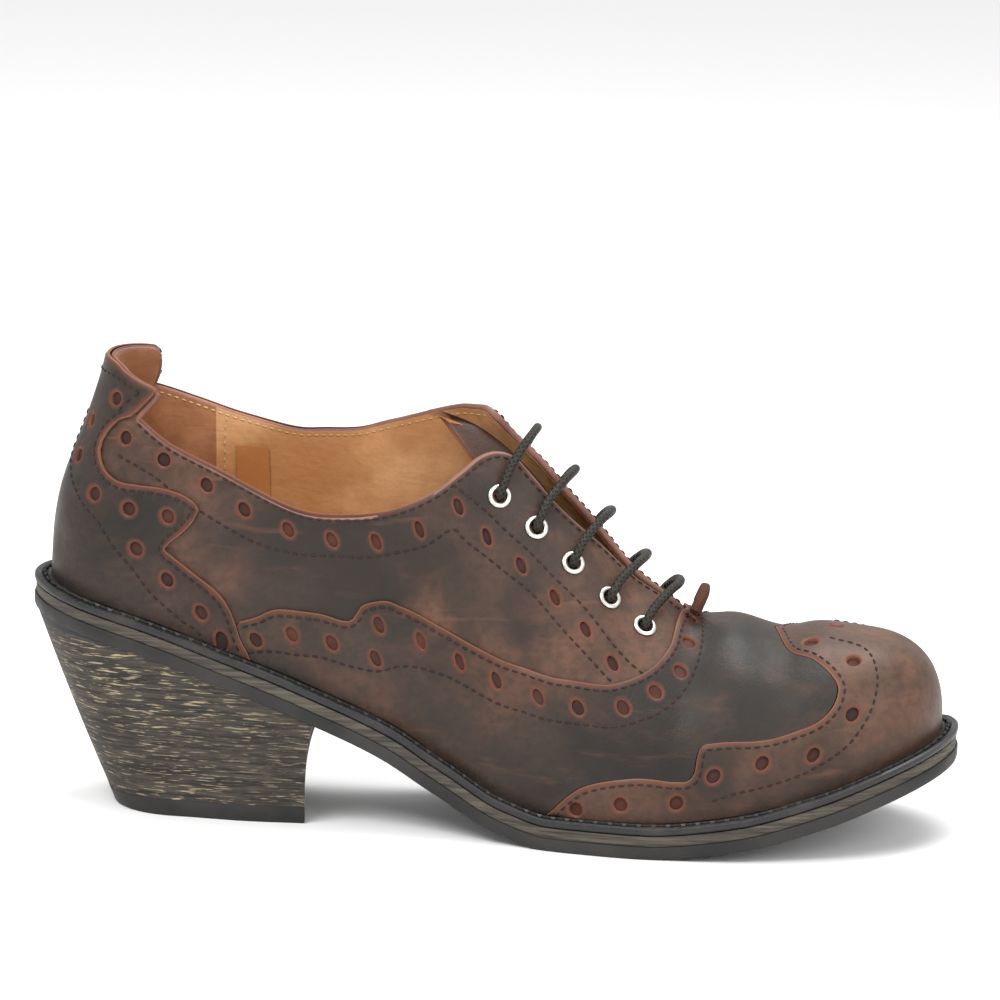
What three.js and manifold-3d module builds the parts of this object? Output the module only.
// A woman's laced oxford shoe with a stacked block heel, right foot, standing empty on its sole.
// Millimetres, +X towards the toe, +Y towards the inner side of the foot, +Z up.
import * as THREE from "three";
import { mergeVertices } from "three/addons/utils/BufferGeometryUtils.js";
import Module from "manifold-3d";

const wasm = await Module();
wasm.setup();

// Driving sizes
const LENGTH = 264; // outsole, heel to toe
const BALL_WIDTH = 89; // outsole across the ball
const HEEL_HEIGHT = 57; // underside of the outsole above the floor, at the back
const TOE_SPRING = 22; // rise of the outsole at the toe tip
const OUTSOLE = 3.6;
const MIDSOLE = 2.6;
const WELT = 2.2;
const WELT_REACH = 6.2; // from the wall of the upper, under its overlays, to the edge of the welt
const WELT_WIDTH = 13; // whole width of the welt strip
const CLEARANCE = 0.3;
const WALL = 2.2; // leather and lining of the upper
const OVERLAY = 1.2; // wing tip, vamp and counter leather
const INSOLE = 3;
const TONGUE = 2;
const INSTEP = 92; // from the feather line to the top of the facings
const TOE_BOX = 41; // from the feather line to the top of the toe
const BACK_HEIGHT = 49; // from the feather line to the collar, at the back
const BACK_LEAN = 14.5; // how far the back leans forward at the top of the tab
const TAB_RISE = 12.5; // pull tab above the collar
const COUNTER_TILT = 0.1; // rise of the counter's front edge towards the inner side, for each unit across
const FACING_GAP = 11; // between the facings, at the top
const THROAT_GAP = 6; // between the facings, at the bottom
const HEEL_BREAST = 82; // from the back of the outsole to the front of the heel
const HEEL_SETBACK = 23; // how far the heel runs forward from top to floor
const HEEL_TAPER = 0.78; // width of the heel at the floor against its width at the top
const TOP_PIECE = 5;
const EYELET_FLANGE = 3.4; // radii
const EYELET_HOLE = 1.95;
const EYELET_SHEET = 0.4;
const EYELET_INSET = 16.8; // along the section, from the edge of the facing to the lowest eyelet
const EYELET_SPLAY = 2.6; // how much farther from the edge the top eyelet sits
const LACE = 2.5;
const LACE_ARCH = 3.6; // height of a bar over the gap

// Underside of the outsole. heel is a share of HEEL_HEIGHT and toe a share of TOE_SPRING.
const UNDERSIDE = [
  { at: 0.0, heel: 1.0, toe: 0 },
  { at: 0.12, heel: 0.86, toe: 0 },
  { at: 0.25, heel: 0.66, toe: 0 },
  { at: 0.307, heel: 0.555, toe: 0 },
  { at: 0.394, heel: 0.375, toe: 0 },
  { at: 0.45, heel: 0.225, toe: 0 },
  { at: 0.523, heel: 0.056, toe: 0 },
  { at: 0.58, heel: 0, toe: 0 },
  { at: 0.68, heel: 0, toe: 0 },
  { at: 0.784, heel: 0, toe: 0.15 },
  { at: 0.867, heel: 0, toe: 0.42 },
  { at: 0.932, heel: 0, toe: 0.7 },
  { at: 1.0, heel: 0, toe: 1.0 },
];

// Edge of the outsole, before its two ends are rounded. All are shares of BALL_WIDTH.
const PLAN = [
  { at: 0.0, middle: 0, outer: 0.33, inner: 0.32 },
  { at: 0.114, middle: 0, outer: 0.337, inner: 0.32 },
  { at: 0.227, middle: 0, outer: 0.36, inner: 0.331 },
  { at: 0.307, middle: 0, outer: 0.35, inner: 0.305 },
  { at: 0.38, middle: 0, outer: 0.338, inner: 0.277 },
  { at: 0.455, middle: 0, outer: 0.36, inner: 0.287 },
  { at: 0.53, middle: 0.005, outer: 0.42, inner: 0.343 },
  { at: 0.606, middle: 0.01, outer: 0.482, inner: 0.42 },
  { at: 0.68, middle: 0.015, outer: 0.513, inner: 0.468 },
  { at: 0.758, middle: 0.02, outer: 0.515, inner: 0.475 },
  { at: 0.83, middle: 0.025, outer: 0.49, inner: 0.463 },
  { at: 1.0, middle: 0.045, outer: 0.46, inner: 0.44 },
];
const HEEL_ROUND = 0.114; // share of LENGTH that the round of the heel takes
const TOE_ROUND = 0.215;
const HEEL_POWER = 2.1; // 2 is an ellipse, more is squarer
const TOE_POWER = 2.25;

// Sections of the last. rise is the height of its top over the feather line, as a share of INSTEP.
// box gives the same for the toe as a share of TOE_BOX. ridge is how far the top line lies to the
// inner side and taper how much the width falls towards the top, both for the upper part.
const SECTIONS = [
  { at: 0.0, rise: 1.09, box: 0, ridge: 0, power: 2.7, taper: 0.42 },
  { at: 0.12, rise: 1.14, box: 0, ridge: 0, power: 2.7, taper: 0.3 },
  { at: 0.25, rise: 1.2, box: 0, ridge: 0.01, power: 2.6, taper: 0.12 },
  { at: 0.36, rise: 1.18, box: 0, ridge: 0.015, power: 2.4, taper: 0.06 },
  { at: 0.43, rise: 1.12, box: 0, ridge: 0.02, power: 2.15, taper: 0.04 },
  { at: 0.49, rise: 1.085, box: 0, ridge: 0.02, power: 1.9, taper: 0 },
  { at: 0.54, rise: 1.015, box: 0, ridge: 0.02, power: 1.75, taper: 0 },
  { at: 0.6, rise: 0.85, box: 0, ridge: 0.02, power: 1.7, taper: 0 },
  { at: 0.65, rise: 0.683, box: 0, ridge: 0.02, power: 1.75, taper: 0 },
  { at: 0.7, rise: 0.565, box: 0, ridge: 0.025, power: 1.9, taper: 0 },
  { at: 0.76, rise: 0.298, box: 0.475, ridge: 0.03, power: 2.15, taper: 0 },
  { at: 0.83, rise: 0, box: 0.97, ridge: 0.03, power: 2.3, taper: 0 },
  { at: 0.9, rise: 0, box: 0.87, ridge: 0.025, power: 2.4, taper: 0 },
  { at: 1.0, rise: 0, box: 0.79, ridge: 0.02, power: 2.4, taper: 0 },
];
const TOE_FALL = 0.82; // share of LENGTH where the toe starts to fall
const TOE_FALL_POWER = 2.7;
const SIDE_BULGE = 0.03;

// Back of the upper from the side. up is a share of BACK_HEIGHT, lean one of BACK_LEAN.
const BACK = [
  { at: 0.0, lean: 0 },
  { at: 0.2, lean: 0.02 },
  { at: 0.36, lean: 0.08 },
  { at: 0.52, lean: 0.2 },
  { at: 0.72, lean: 0.46 },
  { at: 0.95, lean: 0.8 },
  { at: 1.25, lean: 1.15 },
  { at: 2.3, lean: 1.9 },
];
const LEAN_REACH = 0.36; // share of LENGTH over which the lean fades out

// Collar from the side, as shares of LENGTH and of the section's own height over the feather line.
// The inner side stands higher than the outer side.
const COLLAR = [
  { at: 0.1, outer: 0.505, inner: 0.543 },
  { at: 0.145, outer: 0.469, inner: 0.537 },
  { at: 0.2, outer: 0.443, inner: 0.525 },
  { at: 0.245, outer: 0.434, inner: 0.531 },
  { at: 0.272, outer: 0.431, inner: 0.543 },
  { at: 0.307, outer: 0.437, inner: 0.587 },
  { at: 0.342, outer: 0.47, inner: 0.638 },
  { at: 0.375, outer: 0.518, inner: 0.7 },
  { at: 0.408, outer: 0.591, inner: 0.784 },
  { at: 0.442, outer: 0.697, inner: 0.882 },
  { at: 0.47, outer: 0.803, inner: 0.955 },
  { at: 0.488, outer: 0.875, inner: 0.985 },
  { at: 0.505, outer: 0.927, inner: 1.0 },
  { at: 0.52, outer: 0.95, inner: 1.02 },
  { at: 0.535, outer: 1.02, inner: 1.04 },
];

// Rear edge of the wing tip, from the welt to its peak on the middle line.
const WING = [
  { at: 0.57, up: -0.1 },
  { at: 0.578, up: 0.02 },
  { at: 0.629, up: 0.135 },
  { at: 0.673, up: 0.19 },
  { at: 0.73, up: 0.21 },
  { at: 0.74, up: 0.34 },
  { at: 0.763, up: 0.42 },
  { at: 0.833, up: 0.44 },
  { at: 0.872, up: 0.55 },
  { at: 0.883, up: 0.66 },
  { at: 0.86, up: 0.82 },
  { at: 0.82, up: 0.93 },
  { at: 0.797, up: 1.2 },
];

// Upper edge of the vamp, from the counter to the throat.
const VAMP = [
  { at: 0.238, up: 0.11 },
  { at: 0.279, up: 0.18 },
  { at: 0.307, up: 0.215 },
  { at: 0.352, up: 0.24 },
  { at: 0.372, up: 0.3 },
  { at: 0.4, up: 0.355 },
  { at: 0.439, up: 0.38 },
  { at: 0.483, up: 0.42 },
  { at: 0.524, up: 0.44 },
  { at: 0.565, up: 0.465 },
  { at: 0.627, up: 0.51 },
  { at: 0.672, up: 0.6 },
  { at: 0.697, up: 0.78 },
  { at: 0.705, up: 1.2 },
];

// Front edge of the counter, from the collar to the welt.
const COUNTER = [
  { at: 0.112, up: 0.7 },
  { at: 0.1, up: 0.5 },
  { at: 0.083, up: 0.44 },
  { at: 0.088, up: 0.375 },
  { at: 0.104, up: 0.355 },
  { at: 0.155, up: 0.38 },
  { at: 0.187, up: 0.372 },
  { at: 0.195, up: 0.34 },
  { at: 0.16, up: 0.24 },
  { at: 0.157, up: 0.21 },
  { at: 0.187, up: 0.18 },
  { at: 0.217, up: 0.15 },
  { at: 0.235, up: 0.1 },
  { at: 0.249, up: 0.0 },
  { at: 0.25, up: -0.1 },
];

// Eyelets along each facing, as shares of LENGTH.
const EYELETS = [0.509, 0.549, 0.589, 0.629, 0.667];
const THROAT_END = 0.703;
const FACING_TOP = 0.5;

// A smooth curve through one column of a table, flat where neighbouring rows are equal.
function column(rows, name, at) {
  const last = rows.length - 1;
  if (at <= rows[0].at) return rows[0][name];
  if (at >= rows[last].at) return rows[last][name];
  let i = 0;
  while (at > rows[i + 1].at) i += 1;
  const step = (k) => (rows[k + 1][name] - rows[k][name]) / (rows[k + 1].at - rows[k].at);
  const slope = (k) => {
    if (k === 0) return step(0);
    if (k === last) return step(last - 1);
    const before = step(k - 1);
    const after = step(k);
    return before * after <= 0 ? 0 : (2 * before * after) / (before + after);
  };
  const width = rows[i + 1].at - rows[i].at;
  const t = (at - rows[i].at) / width;
  const low = rows[i][name];
  const high = rows[i + 1][name];
  return (
    low * (1 + 2 * t) * (1 - t) * (1 - t) +
    slope(i) * width * t * (1 - t) * (1 - t) +
    high * t * t * (3 - 2 * t) +
    slope(i + 1) * width * t * t * (t - 1)
  );
}

// Underside of the outsole at x, and a surface that lies a given height over it.
function underside(x) {
  const at = x / LENGTH;
  return HEEL_HEIGHT * column(UNDERSIDE, "heel", at) + TOE_SPRING * column(UNDERSIDE, "toe", at);
}

function level(x, height) {
  const reach = LENGTH / 100;
  const slope = (underside(x + reach) - underside(x - reach)) / (2 * reach);
  return underside(x) + height * Math.hypot(1, slope);
}

const MIDSOLE_FOOT = OUTSOLE + CLEARANCE;
const WELT_FOOT = MIDSOLE_FOOT + MIDSOLE + CLEARANCE;
const FEATHER = WELT_FOOT + WELT + CLEARANCE;

// 1 in the middle of the sole, falling to 0 at both ends.
function rounding(x) {
  const heel = HEEL_ROUND * LENGTH;
  const toe = TOE_ROUND * LENGTH;
  if (x < heel) return (1 - ((heel - x) / heel) ** HEEL_POWER) ** (1 / HEEL_POWER);
  if (x > LENGTH - toe) return (1 - ((x - LENGTH + toe) / toe) ** TOE_POWER) ** (1 / TOE_POWER);
  return 1;
}

// The two edges of the sole at x, drawn in by a distance all round.
function edges(x, inset) {
  const middleX = LENGTH / 2;
  const full = Math.min(LENGTH, Math.max(0, middleX + ((x - middleX) * middleX) / (middleX - inset)));
  const at = full / LENGTH;
  const round = rounding(full);
  const middle = BALL_WIDTH * column(PLAN, "middle", at);
  return {
    middle,
    outer: middle - round * (BALL_WIDTH * column(PLAN, "outer", at) - inset),
    inner: middle + round * (BALL_WIDTH * column(PLAN, "inner", at) - inset),
  };
}

// Stations from heel to toe. Every piece shares those between its own two ends, so that the facets of
// neighbours lie level, and each has a few close ones of its own at the round ends.
const STATIONS = 38;
const END_STATIONS = [0, 0.3, 1.1, 2.3];
function stations(inset) {
  const reach = inset + 1.4 * END_STATIONS[END_STATIONS.length - 1];
  const list = END_STATIONS.map((step) => inset + step);
  for (let i = 0; i <= STATIONS; i += 1) {
    const x = (LENGTH * (1 - Math.cos((Math.PI * i) / STATIONS))) / 2;
    if (x > reach && x < LENGTH - reach) list.push(x);
  }
  return [...list, ...END_STATIONS.map((step) => LENGTH - inset - step).reverse()];
}

// Height of the last over the feather line at x.
function sectionRise(x) {
  const at = x / LENGTH;
  const rise = INSTEP * column(SECTIONS, "rise", at) + TOE_BOX * column(SECTIONS, "box", at);
  const start = TOE_FALL * LENGTH;
  const end = LENGTH - WELT_REACH;
  if (x <= start) return rise;
  const part = Math.min(1, (x - start) / (end - start));
  return rise * (1 - part ** TOE_FALL_POWER) ** (1 / TOE_FALL_POWER);
}

// A point of the outer face of the upper. side runs from -1 at the outer feather edge over 0 on the
// top line to 1 at the inner feather edge.
function lastPoint(x, side) {
  const at = x / LENGTH;
  const edge = edges(x, WELT_REACH);
  const angle = ((1 - Math.abs(side)) * Math.PI) / 2;
  const power = 2 / column(SECTIONS, "power", at);
  const up = Math.sin(angle) ** power;
  const along = Math.cos(angle) ** power;
  const rise = sectionRise(x);
  const reach = side < 0 ? edge.middle - edge.outer : edge.inner - edge.middle;
  const bulge = 1 + SIDE_BULGE * Math.sin(2 * angle);
  const width = reach * along * bulge * (1 - column(SECTIONS, "taper", at) * up);
  const shift = BALL_WIDTH * column(SECTIONS, "ridge", at) * up * rounding(x);
  const fade = Math.max(0, 1 - at / LEAN_REACH) ** 2;
  const lean = BACK_LEAN * column(BACK, "lean", (rise * up) / BACK_HEIGHT) * fade;
  return new THREE.Vector3(
    x + lean,
    edge.middle + shift + Math.sign(side) * width,
    level(x, FEATHER) + rise * up,
  );
}

// Closed solids from lists of corners
function mergedSolid(geometry) {
  const bare = new THREE.BufferGeometry();
  bare.setAttribute("position", geometry.getAttribute("position").clone());
  if (geometry.index) bare.setIndex(geometry.index.clone());
  const merged = mergeVertices(bare, 1e-3);
  const corners = merged.index.array;
  const kept = [];
  for (let i = 0; i < corners.length; i += 3) {
    const [a, b, c] = [corners[i], corners[i + 1], corners[i + 2]];
    if (a !== b && b !== c && c !== a) kept.push(a, b, c);
  }
  return new wasm.Manifold(
    new wasm.Mesh({
      numProp: 3,
      vertProperties: new Float32Array(merged.getAttribute("position").array),
      triVerts: new Uint32Array(kept),
    }),
  );
}

function geometryOf(solid) {
  const mesh = solid.getMesh();
  const geometry = new THREE.BufferGeometry();
  geometry.setAttribute("position", new THREE.BufferAttribute(mesh.vertProperties, 3));
  geometry.setIndex(new THREE.BufferAttribute(mesh.triVerts, 1));
  return geometry;
}

function geometryFrom(points, corners) {
  const geometry = new THREE.BufferGeometry().setFromPoints(points);
  geometry.setIndex(corners);
  return geometry;
}

// Rings of equally many points, joined side by side and closed at both ends by a fan.
function ringSolid(rings) {
  const count = rings[0].length;
  const points = rings.flat();
  const corners = [];
  const ends = [rings[0], rings[rings.length - 1]].map((ring) => {
    const centre = new THREE.Vector3();
    ring.forEach((point) => centre.add(point));
    points.push(centre.divideScalar(count));
    return points.length - 1;
  });
  for (let k = 0; k < rings.length - 1; k += 1) {
    for (let j = 0; j < count; j += 1) {
      const next = (j + 1) % count;
      const [a, b, c, d] = [k * count + j, k * count + next, (k + 1) * count + next, (k + 1) * count + j];
      corners.push(a, b, c, a, c, d);
    }
  }
  const top = (rings.length - 1) * count;
  for (let j = 0; j < count; j += 1) {
    const next = (j + 1) % count;
    corners.push(ends[0], next, j, ends[1], top + j, top + next);
  }
  return mergedSolid(geometryFrom(points, corners));
}

// A plate between two levels over the underside, inside the edge of the sole.
function plate(inset, foot, head) {
  const list = stations(inset);
  const quad = (x) => {
    const edge = edges(x, inset);
    return [
      new THREE.Vector3(x, edge.outer, level(x, foot)),
      new THREE.Vector3(x, edge.inner, level(x, foot)),
      new THREE.Vector3(x, edge.inner, level(x, head)),
      new THREE.Vector3(x, edge.outer, level(x, head)),
    ];
  };
  return ringSolid(list.map(quad));
}

// The outer face of the upper as an open sheet, with a normal at each point.
const SIDE_STEPS = 10;
const sheet = (() => {
  const list = stations(WELT_REACH);
  const across = 2 * SIDE_STEPS + 1;
  const points = [];
  const corners = [];
  for (const x of list) {
    for (let j = 0; j < across; j += 1) points.push(lastPoint(x, j / SIDE_STEPS - 1));
  }
  for (let k = 0; k < list.length - 1; k += 1) {
    for (let j = 0; j < across - 1; j += 1) {
      const [a, b, c, d] = [k * across + j, k * across + j + 1, (k + 1) * across + j + 1, (k + 1) * across + j];
      corners.push(a, c, b, a, d, c);
    }
  }
  const merged = mergeVertices(geometryFrom(points, corners), 1e-3);
  const all = merged.index.array;
  const kept = [];
  for (let i = 0; i < all.length; i += 3) {
    const [a, b, c] = [all[i], all[i + 1], all[i + 2]];
    if (a !== b && b !== c && c !== a) kept.push(a, b, c);
  }
  merged.setIndex(kept);
  merged.computeVertexNormals();
  return merged;
})();

// The wall between two distances from the outer face, outwards positive, closed along its free edge.
const NEAR = 0.01;
function wall(from, to) {
  const base = sheet.getAttribute("position");
  const normal = sheet.getAttribute("normal");
  const corners = Array.from(sheet.index.array);
  const count = base.count;
  const points = [];
  for (const distance of [to, from]) {
    for (let i = 0; i < count; i += 1) {
      const point = new THREE.Vector3().fromBufferAttribute(base, i);
      const onFeather = Math.abs(point.z - level(point.x, FEATHER)) < NEAR;
      point.addScaledVector(new THREE.Vector3().fromBufferAttribute(normal, i), distance);
      if (onFeather) point.z = level(point.x, FEATHER);
      points.push(point);
    }
  }
  const edgeUse = new Map();
  const solid = [];
  for (let i = 0; i < corners.length; i += 3) {
    const face = [corners[i], corners[i + 1], corners[i + 2]];
    solid.push(...face, face[2] + count, face[1] + count, face[0] + count);
    face.forEach((a, k) => edgeUse.set(a + "," + face[(k + 1) % 3], [a, face[(k + 1) % 3]]));
  }
  for (const [a, b] of edgeUse.values()) {
    if (!edgeUse.has(b + "," + a)) solid.push(b, a, a + count, b, a + count, b + count);
  }
  return mergedSolid(geometryFrom(points, solid));
}

// Cutters
const FAR = 2 * LENGTH;
function outline(points) {
  return new THREE.Shape(points.map(([x, y]) => new THREE.Vector2(x, y)));
}

// A prism across the shoe, whose section is drawn from the side. It may lean up towards the inner side.
function sidePrism(points, tilt, from = -FAR / 2, width = FAR) {
  const made = new THREE.ExtrudeGeometry(outline(points), { depth: width, bevelEnabled: false });
  made.rotateX(Math.PI / 2);
  made.translate(0, from + width, 0);
  const place = made.getAttribute("position");
  for (let i = 0; i < place.count; i += 1) place.setZ(i, place.getZ(i) + tilt * place.getY(i));
  return mergedSolid(made);
}

// A prism that stands upright on a plan.
function planPrism(points) {
  return mergedSolid(new THREE.ExtrudeGeometry(outline(points), { depth: FAR, bevelEnabled: false }));
}

// A row of a panel table as a point seen from the side.
function fromSide({ at, up }) {
  const x = at * LENGTH;
  const point = lastPoint(x, 0);
  const foot = level(x, FEATHER);
  const lean = (lastPoint(x, 0).x - x) * Math.min(1, Math.max(0, up));
  return [x + lean, foot + up * (point.z - foot)];
}

// Upper: the wall of the last, open underneath, at the collar and between the facings.
const TAB_FRONT = 0.125; // share of LENGTH at the tab's front corners
const TAB_CROWN = 0.035; // share of LENGTH that the tab's top falls from the back to its corners
const tabTop = level(WELT_REACH, FEATHER) + BACK_HEIGHT + TAB_RISE;
const tabCorner = [TAB_FRONT * LENGTH + BACK_LEAN / 4, tabTop - (TAB_CROWN * LENGTH) / 2];

// Everything over the collar's line, on one side of the shoe's middle.
function overCollar(name, sign) {
  const line = COLLAR.map((row) => fromSide({ at: row.at, up: row[name] }));
  const [footX, footZ] = line[0];
  const [endX, endZ] = line[line.length - 1];
  const points = [
    [-FAR, FAR],
    [-FAR, tabTop],
    [footX - BACK_LEAN, tabTop],
    tabCorner,
    [footX, footZ + CLEARANCE],
    ...line,
    [endX + LENGTH, endZ + LENGTH / 4],
    [endX + LENGTH, FAR],
  ];
  return sidePrism(points, 0, sign < 0 ? -FAR / 2 : 0, FAR / 2);
}
const openTop = overCollar("outer", -1).add(overCollar("inner", 1));

function ridgeY(x) {
  return lastPoint(x, 0).y;
}

// How far x lies down the facings, from 0 at their top to 1 at the foot of the throat.
function downFacing(x) {
  const top = FACING_TOP * LENGTH;
  return Math.min(1, Math.max(0, (x - top) / (THROAT_END * LENGTH - top)));
}

function gapHalf(x) {
  return (FACING_GAP + (THROAT_GAP - FACING_GAP) * downFacing(x)) / 2;
}

const throat = (() => {
  const top = FACING_TOP * LENGTH;
  const end = THROAT_END * LENGTH;
  const steps = 6;
  const outer = [];
  const inner = [];
  for (let i = 0; i <= steps; i += 1) {
    const x = top + ((end - top) * i) / steps;
    outer.push([x, ridgeY(x) - gapHalf(x)]);
    inner.push([x, ridgeY(x) + gapHalf(x)]);
  }
  const half = FACING_GAP / 2;
  const mouth = [
    [top - 2 * half, ridgeY(top) - 1.6 * half],
    [top - 0.7 * half, ridgeY(top) - 1.3 * half],
  ];
  const back = mouth.map(([x, y]) => [x, 2 * ridgeY(top) - y]).reverse();
  const tip = [end + THROAT_GAP / 2, ridgeY(end)];
  const prism = planPrism([...mouth, ...outer, tip, ...inner.reverse(), ...back]);
  return prism.translate([0, 0, level(top, FEATHER) + INSTEP / 4]);
})();

// Eyelets sit on the outer face, square to it.
function facingPoint(x, sign) {
  let side = 0;
  const reach = gapHalf(x) + EYELET_INSET + EYELET_SPLAY * (1 - downFacing(x));
  let travelled = 0;
  let before = lastPoint(x, 0);
  const step = 0.005;
  while (travelled < reach) {
    side += sign * step;
    const point = lastPoint(x, side);
    travelled += point.distanceTo(before);
    before = point;
  }
  return { point: before, side };
}

function surfaceNormal(x, side) {
  const near = 0.5;
  const turn = 0.01;
  const alongX = lastPoint(x + near, side).sub(lastPoint(x - near, side));
  const across = lastPoint(x, side + turn).sub(lastPoint(x, side - turn));
  return alongX.cross(across).normalize();
}

const eyeletSeats = EYELETS.flatMap((at, i) =>
  [-1, 1].map((sign) => {
    const x = at * LENGTH;
    const { point, side } = facingPoint(x, sign);
    return { name: (sign < 0 ? "eyelet_outer_" : "eyelet_inner_") + (i + 1), x, side, point, out: surfaceNormal(x, side) };
  }),
);

const ROUND_SIDES = 10;
const UP = new THREE.Vector3(0, 1, 0);
function onSeat(geometry, seat) {
  geometry.applyQuaternion(new THREE.Quaternion().setFromUnitVectors(UP, seat.out));
  geometry.translate(seat.point.x, seat.point.y, seat.point.z);
  return geometry;
}

function lathe(profile) {
  return new THREE.LatheGeometry(
    profile.map(([radius, y]) => new THREE.Vector2(radius, y)),
    ROUND_SIDES,
  );
}

const BARREL = EYELET_HOLE + EYELET_SHEET;
const HOLE = BARREL + CLEARANCE;
function eyelet(seat) {
  const seatGap = CLEARANCE + 0.1;
  const crown = seatGap + 2 * EYELET_SHEET;
  const profile = [
    [EYELET_HOLE, -WALL],
    [BARREL, -WALL],
    [BARREL, seatGap],
    [EYELET_FLANGE, seatGap],
    [EYELET_FLANGE, seatGap + EYELET_SHEET],
    [(EYELET_FLANGE + EYELET_HOLE) / 2, crown],
    [EYELET_HOLE, seatGap + EYELET_SHEET],
    [EYELET_HOLE, -WALL],
  ];
  return onSeat(lathe(profile), seat);
}

function eyeletCutter(seat) {
  const reach = 2 * WALL;
  const profile = [
    [0, -reach],
    [HOLE, -reach],
    [HOLE, reach],
    [0, reach],
  ];
  return mergedSolid(onSeat(lathe(profile), seat));
}

const openings = eyeletSeats.map(eyeletCutter).reduce((all, one) => all.add(one));
const upper = wall(-WALL, 0).subtract(openTop).subtract(throat).subtract(openings);

// Overlays, a leather's thickness outside the upper
const skin = wall(CLEARANCE, CLEARANCE + OVERLAY).subtract(openTop).subtract(throat);
const counterFront = COUNTER.map(fromSide);
const wingRear = WING.map(fromSide);
const vampTop = VAMP.map(fromSide);
const counterArea = (gap) =>
  sidePrism([[-FAR, FAR], ...counterFront.map(([x, z]) => [x + gap, z]), [-FAR, -FAR]], COUNTER_TILT);
const wingArea = (gap) =>
  sidePrism([[FAR, -FAR], ...wingRear.map(([x, z]) => [x - gap, z]), [FAR, FAR]], 0);
const counter = skin.intersect(counterArea(0));
const wingTip = skin.intersect(wingArea(0));
const vampArea = sidePrism(
  [[FAR, -FAR], [counterFront[0][0], -FAR], [counterFront[0][0], vampTop[0][1]], ...vampTop, [vampTop[vampTop.length - 1][0], FAR], [FAR, FAR]],
  0,
);
const JOIN = 2 * CLEARANCE;
const vamp = skin.intersect(vampArea).subtract(counterArea(JOIN)).subtract(wingArea(JOIN));

// Tongue: a leaf under the facings, between the throat and just behind them.
const TONGUE_TOP = 0.462; // shares of LENGTH
const TONGUE_END = 0.735;
const TONGUE_HALF = 19;
const tongueTopX = TONGUE_TOP * LENGTH;
const tongueSkin = wall(-WALL - 2 * CLEARANCE - TONGUE, -WALL - 2 * CLEARANCE);
const tonguePlan = planPrism([
  [tongueTopX + TONGUE_HALF * 0.5, ridgeY(tongueTopX) - TONGUE_HALF],
  [TONGUE_END * LENGTH, ridgeY(TONGUE_END * LENGTH) - TONGUE_HALF * 0.6],
  [TONGUE_END * LENGTH, ridgeY(TONGUE_END * LENGTH) + TONGUE_HALF * 0.6],
  [tongueTopX + TONGUE_HALF * 0.5, ridgeY(tongueTopX) + TONGUE_HALF],
  [tongueTopX + TONGUE_HALF * 0.12, ridgeY(tongueTopX) + TONGUE_HALF * 0.72],
  [tongueTopX, ridgeY(tongueTopX)],
  [tongueTopX + TONGUE_HALF * 0.12, ridgeY(tongueTopX) - TONGUE_HALF * 0.72],
]).translate([0, 0, FEATHER + INSTEP / 4]);
const tongue = tongueSkin.intersect(tonguePlan);

// Insole, inside the wall of the upper
const insole = plate(WELT_REACH + WALL + 2 * CLEARANCE, FEATHER + CLEARANCE, FEATHER + CLEARANCE + INSOLE);

// Welt: a strip round the edge, under the upper
const weltHole = plate(WELT_WIDTH, WELT_FOOT - WELT, WELT_FOOT + 2 * WELT);
const welt = plate(0, WELT_FOOT, WELT_FOOT + WELT).subtract(weltHole);
const midsole = plate(0, MIDSOLE_FOOT, MIDSOLE_FOOT + MIDSOLE);
const outsole = plate(0, 0, OUTSOLE);

// Heel: a block whose back slopes forward and whose front is hollowed a little, on a rubber top piece
const HEEL_STEPS = 14;
const BREAST_HOLLOW = 2.5;
const BREAST_SKEW = 9; // how far the front's inner edge lies behind its outer edge, on the floor
const HEEL_INSET = 0.6;
function heelRing(height, toSole) {
  const list = [];
  const lean = HEEL_SETBACK * (1 - height);
  const back = HEEL_INSET + lean;
  const narrow = HEEL_TAPER + (1 - HEEL_TAPER) * height;
  for (const sign of [-1, 1]) {
    const skew = sign > 0 ? BREAST_SKEW * (1 - height * height) : 0;
    const front = HEEL_BREAST + BREAST_HOLLOW * height * height - skew;
    for (let i = 0; i <= HEEL_STEPS; i += 1) {
      const turn = sign < 0 ? i / HEEL_STEPS : 1 - i / HEEL_STEPS;
      const share = 1 - Math.sin((turn * Math.PI) / 2);
      const sole = HEEL_INSET + (HEEL_BREAST - HEEL_INSET) * share;
      const edge = edges(sole, HEEL_INSET);
      const y = sign < 0 ? edge.outer : edge.inner;
      if (sign > 0 && i === 0) continue;
      const x = back + (front - back) * share;
      list.push(new THREE.Vector3(x, y * narrow, toSole(x)));
    }
  }
  return list;
}

const HEEL_LEVELS = 5;
const blockFoot = TOP_PIECE + CLEARANCE;
const heelRings = [];
for (let k = 0; k <= HEEL_LEVELS; k += 1) {
  const share = k / HEEL_LEVELS;
  const height = (blockFoot + share * (HEEL_HEIGHT - blockFoot)) / HEEL_HEIGHT;
  heelRings.push(heelRing(height, (x) => blockFoot + share * (underside(x) - CLEARANCE - blockFoot)));
}
const heelBlock = ringSolid(heelRings.reverse());
const topPiece = ringSolid([heelRing(TOP_PIECE / HEEL_HEIGHT, () => TOP_PIECE), heelRing(0, () => 0)]);

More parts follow.
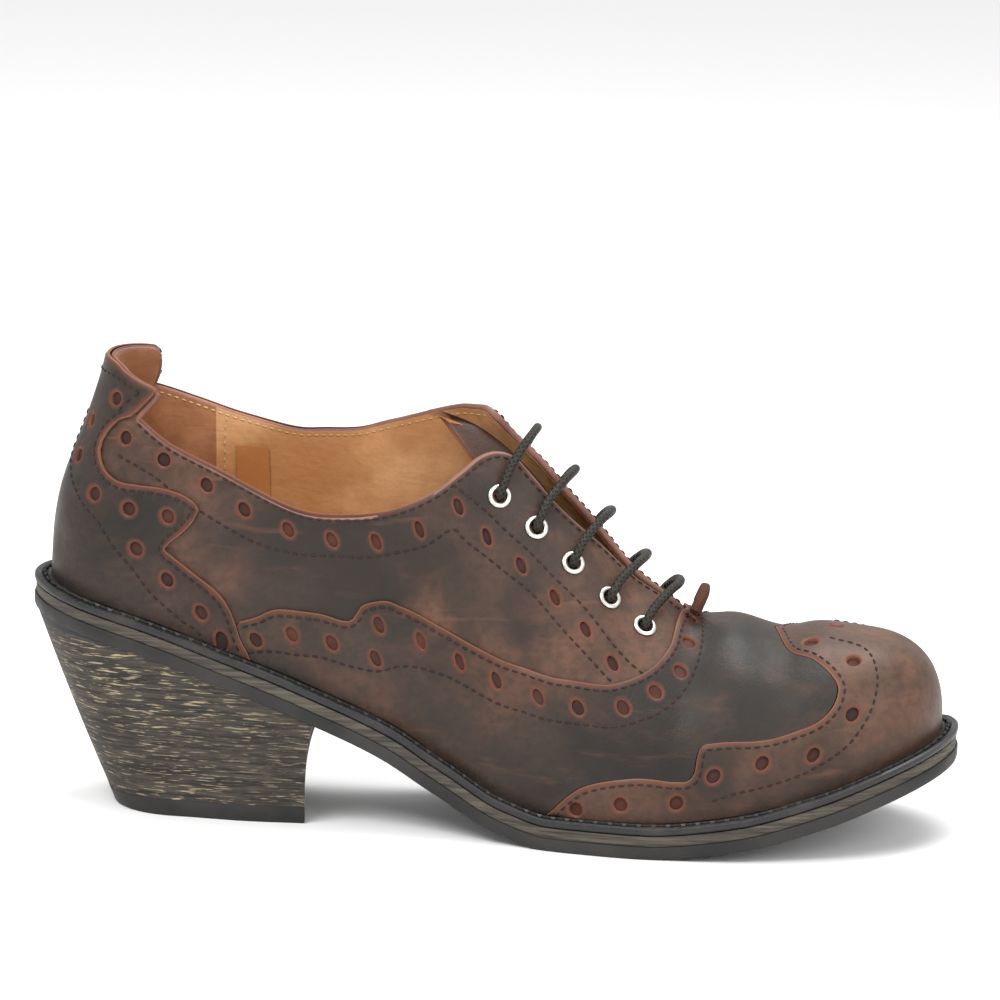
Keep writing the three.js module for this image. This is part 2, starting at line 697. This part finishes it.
// Lace bars, each from one eyelet over the gap to the other
const LACE_SIDES = 3; // to each half of the section
const LACE_STEPS = 8;
function laceBar(index) {
  const [outer, inner] = [eyeletSeats[2 * index], eyeletSeats[2 * index + 1]];
  const path = [];
  const dip = WALL / 2;
  path.push(outer.point.clone().addScaledVector(outer.out, -dip));
  for (let i = 0; i <= LACE_STEPS; i += 1) {
    const part = i / LACE_STEPS;
    const side = outer.side + (inner.side - outer.side) * part;
    const lift = LACE * 0.5 + EYELET_SHEET * 3 + LACE_ARCH * Math.sin(Math.PI * part) ** 0.7;
    path.push(lastPoint(outer.x, side).addScaledVector(surfaceNormal(outer.x, side), lift));
  }
  path.push(inner.point.clone().addScaledVector(inner.out, -dip));
  const section = new THREE.Shape();
  section.absarc(0, 0, LACE / 2, 0, 2 * Math.PI, false);
  return new THREE.ExtrudeGeometry(section, {
    steps: LACE_STEPS + 4,
    curveSegments: LACE_SIDES,
    bevelEnabled: false,
    extrudePath: new THREE.CatmullRomCurve3(path, false, "centripetal"),
  });
}

// Throat tab: a thick suede band that arches over the foot of the facings, from side to side
const TAB_THICK = 3;
const TAB_WIDE = 4.4;
const TAB_SPAN = 13;
const TAB_ARCH = 4.6; // height of its middle over its two feet
const TAB_STEPS = 8;
function throatTab() {
  const x = THROAT_END * LENGTH + TAB_WIDE / 2;
  const seat = OVERLAY + 3 * CLEARANCE + TAB_THICK / 2;
  const path = [];
  for (let i = 0; i <= TAB_STEPS; i += 1) {
    const part = i / TAB_STEPS;
    const side = (part - 0.5) * (TAB_SPAN / (BALL_WIDTH / 2)) * 0.7;
    const lift = seat + TAB_ARCH * Math.sin(Math.PI * part) ** 0.8;
    path.push(lastPoint(x, side).addScaledVector(surfaceNormal(x, side), lift));
  }
  const section = new THREE.Shape();
  section.moveTo(-TAB_WIDE / 2, -TAB_THICK / 2);
  section.lineTo(TAB_WIDE / 2, -TAB_THICK / 2);
  section.lineTo(TAB_WIDE / 2, TAB_THICK / 2);
  section.lineTo(-TAB_WIDE / 2, TAB_THICK / 2);
  section.closePath();
  return new THREE.ExtrudeGeometry(section, {
    steps: 2 * TAB_STEPS,
    bevelEnabled: false,
    extrudePath: new THREE.CatmullRomCurve3(path, false, "centripetal"),
  });
}

// The assembly, each piece with its own finish
const shoe = new THREE.Group();
function add(name, geometry, color, roughness, metalness = 0) {
  const mesh = new THREE.Mesh(geometry, new THREE.MeshStandardMaterial({ color, roughness, metalness }));
  mesh.name = name;
  shoe.add(mesh);
}

add("upper", geometryOf(upper), 0x5a3a2e, 0.5);
add("wing_tip", geometryOf(wingTip), 0x6a3f2e, 0.48);
add("vamp", geometryOf(vamp), 0x4a3530, 0.5);
add("counter", geometryOf(counter), 0x45332e, 0.5);
add("tongue", geometryOf(tongue), 0x6b4434, 0.55);
add("insole", geometryOf(insole), 0xb98a5a, 0.7);
add("welt", geometryOf(welt), 0x1d1b1a, 0.5);
add("midsole", geometryOf(midsole), 0x5d5244, 0.75);
add("outsole", geometryOf(outsole), 0x232221, 0.7);
add("heel_block", geometryOf(heelBlock), 0x4a4238, 0.75);
add("top_piece", geometryOf(topPiece), 0x1c1b1b, 0.75);
eyeletSeats.forEach((seat) => add(seat.name, eyelet(seat), 0xc9c8c2, 0.35, 1));
EYELETS.forEach((_, i) => add("lace_bar_" + (i + 1), laceBar(i), 0x2c2a24, 0.7));
add("throat_tab", throatTab(), 0x733e26, 0.9);

// The origin is under the middle of the shoe, on the floor.
const extent = new THREE.Box3().setFromObject(shoe);
shoe.position.set(-(extent.min.x + extent.max.x) / 2, -(extent.min.y + extent.max.y) / 2, 0);
const assembly = new THREE.Group();
assembly.add(shoe);

export default assembly;
